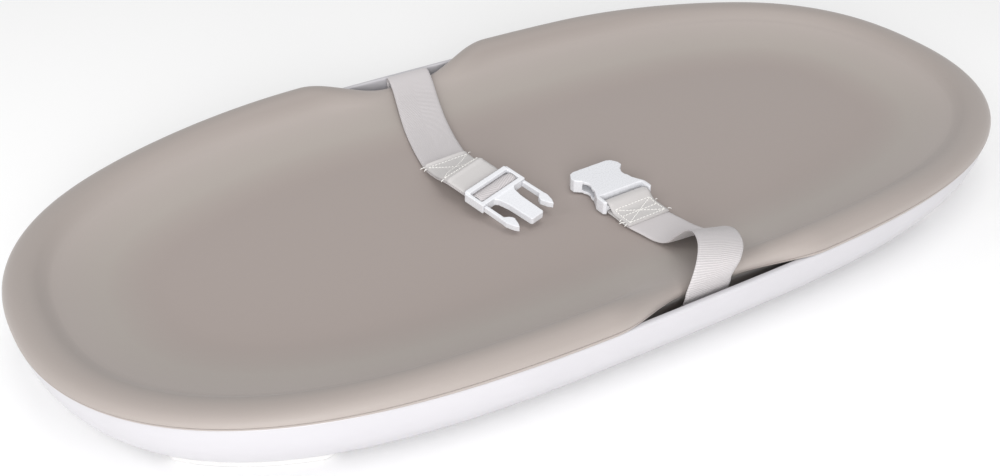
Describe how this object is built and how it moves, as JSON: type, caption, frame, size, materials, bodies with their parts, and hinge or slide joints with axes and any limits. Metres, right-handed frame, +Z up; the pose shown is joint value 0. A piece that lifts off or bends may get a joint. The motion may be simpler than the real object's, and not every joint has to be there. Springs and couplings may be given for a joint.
{
  "type": "changing pad",
  "caption": "Oval foam changing pad in a white plastic tray, with a webbing safety belt and side-release buckle.",
  "frame": {"origin": "middle of the tray, on the surface that its feet stand on", "axes": "+X along the length to the right, +Y from the front long side to the back one, +Z up"},
  "size_m": [0.7544, 0.3757, 0.077],
  "materials": {
    "tray_plastic": "smooth white moulded plastic, satin gloss",
    "foot_rubber": "white matte anti-slip rubber",
    "pad_foam": "taupe self-skinned foam, fine soft-touch matte",
    "webbing": "off-white ribbed polyester webbing",
    "buckle_plastic": "white moulded acetal, satin gloss",
    "screw_steel": "zinc-plated steel"
  },
  "bodies": {
    "tray": {"tray_shell": "tray_plastic", "foot_front_left": "foot_rubber", "foot_front_right": "foot_rubber", "foot_back_left": "foot_rubber", "foot_back_right": "foot_rubber"},
    "pad": {"foam_pad": "pad_foam", "belt_under_pad": "webbing", "belt_keeper_front": "tray_plastic", "belt_keeper_back": "tray_plastic", "keeper_screw_1": "screw_steel", "keeper_screw_2": "screw_steel", "keeper_screw_3": "screw_steel", "keeper_screw_4": "screw_steel"},
    "back_strap": {"strap_back_webbing": "webbing", "strap_back_tail": "webbing"},
    "front_strap": {"strap_front_webbing": "webbing"},
    "male_buckle": {"male_buckle_frame": "buckle_plastic", "male_webbing_loop": "webbing"},
    "prong_left": {"male_prong_left": "buckle_plastic"},
    "prong_right": {"male_prong_right": "buckle_plastic"},
    "female_buckle": {"female_buckle_housing": "buckle_plastic", "female_webbing_loop": "webbing"}
  },
  "joints": [
    {"name": "pad_lift", "type": "slide", "parent": "tray", "child": "pad", "axis": [0, 0, 1], "range_m": [0, 0.15]},
    {"name": "back_strap_swing", "type": "hinge", "parent": "pad", "child": "back_strap", "pos_m": [-0.022, 0.1772, 0.0494], "axis": [-1, 0, 0], "range_deg": [0, 100]},
    {"name": "front_strap_swing", "type": "hinge", "parent": "pad", "child": "front_strap", "pos_m": [0.003, -0.178, 0.0504], "axis": [1, 0, 0], "range_deg": [0, 85]},
    {"name": "male_buckle_tilt", "type": "hinge", "parent": "back_strap", "child": "male_buckle", "pos_m": [-0.05254, 0.0151, 0.04927], "axis": [-0.9628, -0.2532, -0.0949], "range_deg": [0, 60]},
    {"name": "female_buckle_tilt", "type": "hinge", "parent": "front_strap", "child": "female_buckle", "pos_m": [0.03223, -0.07779, 0.0375], "axis": [0.9994, 0.0349, 0], "range_deg": [0, 60]},
    {"name": "prong_left_flex", "type": "hinge", "parent": "male_buckle", "child": "prong_left", "pos_m": [-0.06331, -0.01784, 0.04193], "axis": [-0.0553, -0.1591, 0.9857], "range_deg": [0, 8], "stiffness_Nm_per_rad": 0.02},
    {"name": "prong_right_flex", "type": "hinge", "parent": "male_buckle", "child": "prong_right", "pos_m": [-0.02595, -0.00802, 0.04561], "axis": [0.0553, 0.1591, -0.9857], "range_deg": [0, 8], "stiffness_Nm_per_rad": 0.02}
  ]
}
